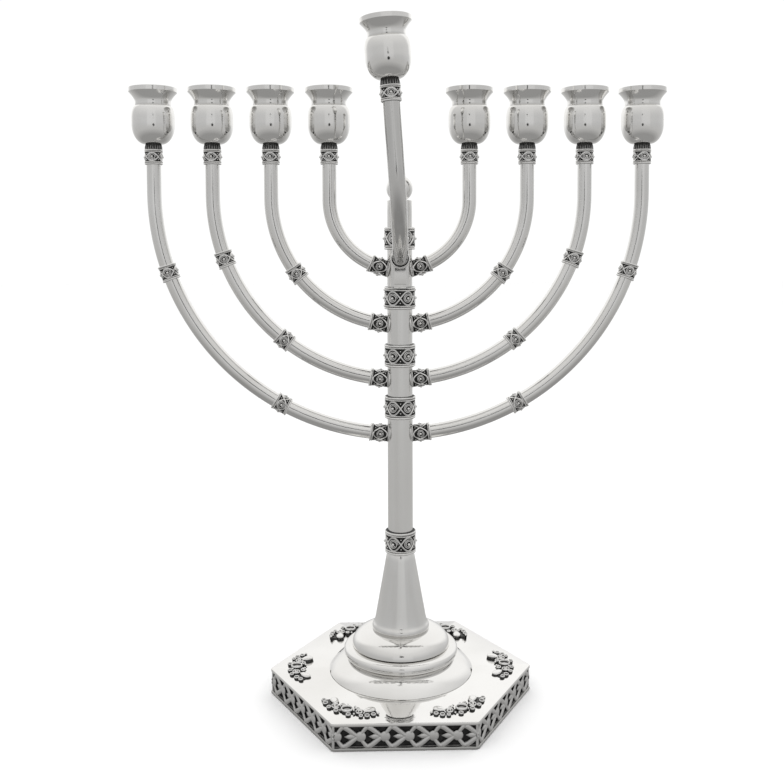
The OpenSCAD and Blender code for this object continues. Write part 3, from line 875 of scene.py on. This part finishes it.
def at(x, y, z):
    """Moves a shape."""
    return lambda p: p + np.array([x, y, z])


def outside_column(side, gap):
    """Moves what would be inside the column out to a gap beyond its face."""

    def place(p):
        q = p.copy()
        face = np.sqrt(np.maximum((COLUMN_R + gap) ** 2 - q[:, 1] ** 2, 0))
        inside = np.abs(q[:, 0]) < face
        q[inside, 0] = (side * face)[inside]
        return q

    return place


def make_column_bands():
    """Five bands on the column, the fourth with the pocket for the helper's blade."""
    for name in ["stem_band"] + [f"column_band_{i}" for i in range(1, 5)]:
        low, high = box_mm(name)
        pocket = name == "column_band_3"
        band = Band(COLUMN_R, COLUMN_GROUND, COLUMN_RIM, COLUMN_BAND_LEN, 6, pocket)
        band.warp(at(0, 0, (low[2] + high[2]) / 2))
        band.make(f"{name}_filigree", "stand", [WIRE, BLACK], [name], "filigree")


def make_branch_bands(side_name, i):
    """The bands of one branch: at the column and shaped to it, along the arc, and under the cup."""
    side = SIDES[side_name]
    radius = ARC_R[i - 1]
    centre_z = JOINT_Z[i - 1] + radius
    rim_top = BAND_R + 0.35
    root = math.degrees(math.asin((COLUMN_R - 1.6 + COLLAR_LEN / 2) / radius))
    whole = Band(BRANCH_R, BRANCH_GROUND, rim_top, COLLAR_LEN, 4)
    whole.warp(on_arc(root, radius, centre_z, side)).warp(outside_column(side, 0.02))
    for angle in MID_ANGLES[i - 1]:
        band = Band(BRANCH_R, BRANCH_GROUND, rim_top, MID_LEN, 4)
        whole.join(band.warp(on_arc(angle, radius, centre_z, side)))
    band = Band(BRANCH_R, BRANCH_GROUND, BAND_R + 0.2, CUP_BAND_LEN, 4, fluted=FLUTE_LEN)
    whole.join(band.warp(at(side * radius, 0, CUP_FOOT - CUP_BAND_LEN / 2)))
    whole.make(f"bands_{side_name}_{i}", "stand", [WIRE, BLACK], [f"branch_bands_{side_name}_{i}"], "filigree")


# ---------------- branches and cups

def arm_path(radius, centre_z, top, first, steps=110):
    """Centre line of a branch in its own plane: an arc from angle first to a quarter turn, then straight up."""
    turn = np.linspace(first, math.pi / 2, steps)
    path = [(radius * math.sin(a), centre_z - radius * math.cos(a)) for a in turn]
    return path + [(radius, z) for z in np.linspace(centre_z, top, 12)[1:]]


def tube_shape(path, radius, sides=40):
    """Tube with a wall along a path, its ends square."""
    outer, faces = sweep(path, radius, (0, 1, 0), sides)
    inner, _ = sweep(path, radius - TUBE_WALL, (0, 1, 0), sides)
    n = len(path)
    outer, inner = outer[:n * sides], inner[:n * sides]
    faces = [f for f in faces if len(f) == 4]
    faces += [tuple(n * sides + i for i in reversed(f)) for f in faces]
    for end in (0, n - 1):
        for j in range(sides):
            k = (j + 1) % sides
            faces.append((end * sides + j, end * sides + k, (n + end) * sides + k, (n + end) * sides + j))
    return Shape().add(outer + inner, faces)


def make_branch(side_name, i):
    """Branch tube from the column's face up to the cup's foot."""
    side = SIDES[side_name]
    radius = ARC_R[i - 1]
    centre_z = JOINT_Z[i - 1] + radius
    first = math.asin((COLUMN_R - 1.2) / radius)
    path = [(side * x, 0, z) for x, z in arm_path(radius, centre_z, CUP_FOOT - 0.01, first)]
    tube = tube_shape(path, BRANCH_R).warp(outside_column(side, 0.01))
    tube.make(f"tube_{side_name}_{i}", "stand", [SILVER], [f"branch_{side_name}_{i}"], "silver")


def cup_profile():
    """Spun cup with its foot at 0: a bowl, a crease at the waist, a flare, and an upright lip."""
    h, foot, body, neck, rim, wall = 31.0, 4.4, 11.8, 9.8, 13.25, 0.8
    bowl, shoulder, crease, seat, lip, floor = 11.0, 14.5, 21.0, 2.4, 2.4, 1.2
    flare = h - lip - crease - seat

    def side(d):
        """Side of the cup from the foot up to the lip, moved inwards by d."""
        base = floor if d else 0
        turn = np.linspace(0, math.pi / 2, 22)
        points = [(foot - d + (body - foot) * math.sin(a), bowl + (base - bowl) * math.cos(a)) for a in turn]
        points += [(body - d, bowl + (shoulder - bowl) * t) for t in (0.33, 0.66)]
        turn = np.linspace(0, math.pi / 2, 16)
        points += [(neck - d + (body - neck) * math.cos(a), shoulder + (crease - shoulder) * math.sin(a))
                   for a in turn]
        points += [(neck - d, crease + 0.3), (neck - d, crease + seat / 2)]
        points += [(neck - d + (rim - neck) * t ** 1.5, crease + seat + flare * t)
                   for t in np.linspace(0, 1, 14)]
        return points

    out, inner = side(0), side(wall)
    waist = next(k for k, q in enumerate(out) if abs(q[1] - crease) < 1e-6)
    out[waist] = (neck - 0.12, crease)
    top = [(rim, h - lip + 0.2), (rim, h - 0.3), (rim, h - 0.1), (rim - 0.05, h - 0.02), (rim - 0.12, h),
           (rim - wall + 0.12, h), (rim - wall, h - 0.12)]
    return [(0, 0)] + out + top + inner[::-1] + [(0, floor)]


CUP = revolve(cup_profile(), 96, closed=False)


def cup_shape():
    return Shape().add(*CUP)


def make_cup(side_name, i):
    """Cup on the end of a branch."""
    side = SIDES[side_name]
    cup = cup_shape().warp(at(side * ARC_R[i - 1], 0, CUP_FOOT))
    cup.make(f"candle_cup_{side_name}_{i}", "stand", [CUP_SILVER], [f"cup_{side_name}_{i}"], "silver")


# ---------------- helper arm

def lean(p):
    """From the helper arm's own frame, with Z up from its root and X along its reach, to the row frame."""
    x, y, z = p[:, 1], -p[:, 0], p[:, 2]
    c, s = math.cos(HELPER_LEAN), math.sin(HELPER_LEAN)
    return np.stack([x * c - z * s, y, HELPER_ROOT + x * s + z * c], 1)


def keep_front(p):
    """Keeps a part of the arm in front of the face that it is soldered to."""
    q = p.copy()
    q[:, 1] = np.minimum(q[:, 1], -ROOT_FACE)
    return q


def make_helper():
    """Arm that hangs in the column's pocket: tube, cup, band, collar and hook."""
    first = math.asin((ROOT_FACE - 1.0) / HELPER_REACH)
    path = [(x, 0, z) for x, z in arm_path(HELPER_REACH, HELPER_REACH, HELPER_TOP - 0.01, first)]
    tube = tube_shape(path, HELPER_R, 48).warp(lean).warp(keep_front)
    tube.make("helper_arm_tube", "helper", [HELPER_SILVER], ["helper_tube"], "silver")

    cup = cup_shape().warp(at(HELPER_REACH, 0, HELPER_TOP)).warp(lean)
    cup.make("candle_cup_helper", "helper", [CUP_SILVER], ["helper_cup"], "silver")

    band = Band(HELPER_R, 4.7, HELPER_R + 1.1, CUP_BAND_LEN, 4, fluted=FLUTE_LEN)
    band.warp(at(HELPER_REACH, 0, HELPER_TOP - CUP_BAND_LEN / 2)).warp(lean)
    band.make("helper_band_filigree", "helper", [WIRE, BLACK], ["helper_band"], "filigree")
    make_helper_collar()
    make_hook()


def make_helper_collar():
    """Two plain wires with a twisted one between them, round the tube's root."""
    shape = Shape()
    length = 3.1
    sleeve = [(HELPER_R, 0), (HELPER_R + 0.5, 0), (HELPER_R + 0.5, length), (HELPER_R, length)]
    shape.add(*revolve(sleeve), 0.1, 1)
    for z in (0.55, 2.6):
        shape.add(*sweep(circle_path(HELPER_R + 0.6, z, 72), 0.48, sides=10, closed=True), 0.9)
    for strand in rope(HELPER_R + 0.75, 1.55, 0.26, 26, 150):
        shape.add(*strand, 0.7)
    root = math.degrees(math.asin((ROOT_FACE + 0.1) / HELPER_REACH))
    shape.warp(on_arc(root, HELPER_REACH, HELPER_REACH, 1)).warp(lean).warp(keep_front)
    shape.make("helper_collar_rings", "helper", [WIRE, BLACK], ["helper_collar"], "filigree")


def soften(bm, co, faces, width):
    """Adds a solid with its sharp edges rounded."""
    verts = [bm.verts.new(c) for c in co]
    made = [bm.faces.new([verts[i] for i in f]) for f in faces]
    bm.normal_update()
    edges = dict.fromkeys(e for f in made for e in f.edges)
    sharp = [e for e in edges if e.calc_face_angle(0) > math.radians(40)]
    bmesh.ops.bevel(bm, geom=sharp, offset=width, segments=3, profile=0.5, affect="EDGES")


def make_hook():
    """Curved blade, and the block that carries the tube."""
    low, high = box_mm("helper_tongue")
    half_angle = math.degrees(math.asin(TONGUE_HALF / BLADE_OUT))
    block_z = box_mm("column_band_3")[1][2] + 1.5
    steps = 12
    block = []
    for x in np.linspace(-TONGUE_HALF, TONGUE_HALF, steps + 1):
        back = -math.sqrt((BLADE_IN + 0.4) ** 2 - x * x)
        for y, z in ((back, block_z), (-ROOT_FACE, block_z), (-ROOT_FACE, high[2]), (back, high[2])):
            block.append((x, y, z))
    bm = bmesh.new()
    soften(bm, *sector(BLADE_IN, BLADE_OUT, low[2], high[2], -90 - half_angle, -90 + half_angle, 14), 0.2)
    soften(bm, block, loft_faces(steps), 0.35)
    bm.verts.index_update()
    shape = Shape().add([v.co[:] for v in bm.verts], [[v.index for v in f.verts] for f in bm.faces])
    bm.free()
    shape.make("helper_hook", "helper", [SILVER], ["helper_tongue"], "silver")


# ---------------- studio

CAMERA_AT = (-0.01825, -0.53265, 0.25715)
CAMERA_YAW, CAMERA_PITCH, CAMERA_ROLL = math.radians(1.384), math.radians(2.935), math.radians(-0.193)
WHITE_ABOVE, WHITE_BEHIND, WHITE_TO_THE_EYE = 0.92, 1.08, 1.04


def make_camera():
    """Camera at the photograph's angle: a little left of the middle, below the cups. Places are in metres."""
    camera = bpy.data.objects.new("camera", bpy.data.cameras.new("camera"))
    bpy.context.scene.collection.objects.link(camera)
    camera.data.lens = 43.3
    camera.data.sensor_width = 36
    camera.data.shift_x = 0.0022
    camera.data.shift_y = -0.125
    camera.data.dof.use_dof = False
    across = math.cos(CAMERA_PITCH)
    forward = Vector((math.sin(CAMERA_YAW) * across, math.cos(CAMERA_YAW) * across, -math.sin(CAMERA_PITCH)))
    sideways = Vector((math.cos(CAMERA_YAW), -math.sin(CAMERA_YAW), 0))
    right = math.cos(CAMERA_ROLL) * sideways + math.sin(CAMERA_ROLL) * sideways.cross(forward)
    turn = Matrix((right, right.cross(forward), -forward)).transposed()
    camera.matrix_world = Matrix.Translation(Vector(CAMERA_AT)) @ turn.to_4x4()
    bpy.context.scene.camera = camera


class World(Surface):
    """The same short calls for the world's nodes."""

    def __init__(self, name):
        self.world = bpy.data.worlds.new(name)
        self.world.use_nodes = True
        self.t = self.world.node_tree
        self.b = self.t.nodes["Background"]
        self.co = self.t.nodes.new("ShaderNodeTexCoord").outputs["Generated"]

    def steps(self, value, stops):
        """Greys between stops, each a position from 0 to 1 and a brightness."""
        n = self.node("ShaderNodeValToRGB", {0: value})
        ramp = n.color_ramp
        ramp.elements[0].position, ramp.elements[1].position = stops[0][0], stops[-1][0]
        for e, stop in zip(ramp.elements, (stops[0], stops[-1])):
            e.color = (stop[1],) * 3 + (1,)
        for position, v in stops[1:-1]:
            ramp.elements.new(position).color = (v,) * 3 + (1,)
        return n.outputs[0]


def make_world():
    """A light tent: plain white to the eye, grey walls in reflections, brightest above and behind."""
    s = World("tent")
    bpy.context.scene.world = s.world
    x, y, z = s.node("ShaderNodeSeparateXYZ", {0: s.co}).outputs
    around = s.math("ARCTAN2", x, s.math("MULTIPLY", y, -1.0))
    turn = s.ramp(around, 0, 1, -math.pi, math.pi)
    opening = [(0.0, 0.70), (0.052, 0.69), (0.062, 0.60)]
    side = [(0.20, 0.58), (0.31, 0.63), (0.40, 0.82), (0.43, 1.0), (0.46, 0.86), (0.5, 0.80)]
    wider_right = 1.25
    stops = [(0.5 - p, v) for p, v in reversed(opening + side)]
    stops += [(0.5 + p * wider_right, v) for p, v in opening[1:]] + [(0.5 + p, v) for p, v in side]
    walls = s.steps(turn, stops)
    walls = s.mix(s.ramp(z, 0, 1, 0.05, 0.6), walls, grey(0.80))
    low = s.mix(s.ramp(z, 0, 1, -0.25, 0.05), grey(0.56), walls)
    low = s.mix(s.ramp(z, 0, 1, -0.3, -0.7), low, grey(0.34))
    behind = s.ramp(y, 0, 0.7, 0.1, 0.75)
    rise = s.node("ShaderNodeMapRange", {"Value": s.math("ADD", z, behind), "From Min": 0.6, "From Max": 0.95},
                  interpolation_type="SMOOTHSTEP").outputs[0]
    top = s.mix(s.ramp(y, 0, 1, -0.3, 0.4), grey(WHITE_ABOVE), grey(WHITE_BEHIND))
    seen = s.mix(rise, low, top)
    glossy = s.t.nodes.new("ShaderNodeLightPath").outputs["Is Glossy Ray"]
    s.put(s.b.inputs["Color"], s.mix(glossy, grey(WHITE_TO_THE_EYE, 0), seen))


def dark_card(name, place, size):
    """A dark patch in the tent's front, where the camera looks in. It shows only in reflections."""
    w, h = size[0] / 2, size[1] / 2
    mesh = bpy.data.meshes.new(name)
    outline = [(w * math.cos(TAU * k / 24), 0, h * math.sin(TAU * k / 24)) for k in range(24)]
    mesh.from_pydata(outline, [], [tuple(range(24))])
    card = bpy.data.objects.new(name, mesh)
    card.location = place
    card.visible_camera = card.visible_diffuse = card.visible_shadow = card.visible_transmission = False
    bpy.context.scene.collection.objects.link(card)
    s = Surface(name)
    mesh.materials.append(s.done(Base_Color=s.mix(s.noise(8), grey(0.02), grey(0.04)), Roughness=0.9))


def make_floor():
    """White paper a hair below the base."""
    mesh = bpy.data.meshes.new("floor")
    half = 6.0
    corners = [(-half, -half, 0), (half, -half, 0), (half, half, 0), (-half, half, 0)]
    mesh.from_pydata(corners, [], [(0, 1, 2, 3)])
    floor = bpy.data.objects.new("floor", mesh)
    floor.location.z = -0.0002
    floor.visible_glossy = False
    bpy.context.scene.collection.objects.link(floor)
    s = Surface("floor_paper")
    mesh.materials.append(s.done(Base_Color=s.mix(s.noise(60), grey(0.965, 0), grey(0.985, 0)), Roughness=0.9))


def area_light(name, place, size, power, aim=(0, 0, 0.15)):
    """Soft light aimed at the object's middle, itself not reflected."""
    light = bpy.data.lights.new(name, "AREA")
    light.shape = "RECTANGLE"
    light.size, light.size_y = size
    light.energy = power
    holder = bpy.data.objects.new(name, light)
    holder.location = place
    holder.rotation_euler = (Vector(aim) - Vector(place)).to_track_quat("-Z", "Y").to_euler()
    holder.visible_glossy = False
    bpy.context.scene.collection.objects.link(holder)


make_camera()
make_world()
make_floor()
dark_card("opening", (0, CAMERA_AT[1] - 0.01, JOINT_Z[0] * MM + 0.042), (0.11, 0.11))
dark_card("flag", (CAMERA_AT[0], CAMERA_AT[1], 0.431), (0.055, 0.03))
area_light("key", (-0.5, -0.5, 1.5), (1.2, 1.2), 3)
area_light("fill", (0.9, 0.4, 1.2), (1.2, 1.2), 2)

make_plates()
for n in range(1, 7):
    gallery_side(n)
    corner_ornament(n)
make_foot()
make_cone()
make_column()
make_finial()
make_column_bands()
for side_word in SIDES:
    for n in range(1, 5):
        make_branch(side_word, n)
        make_branch_bands(side_word, n)
        make_cup(side_word, n)
make_helper()

# parts that show their own CAD solids
for node, material in (("base_lining", BLACK), ("base_washer", STEEL), ("base_nut", STEEL),
                       ("tie_rod", STEEL), ("column_plug", STEEL)):
    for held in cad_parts[node].material_slots:
        held.material = material

bpy.context.scene.view_settings.view_transform = "Standard"
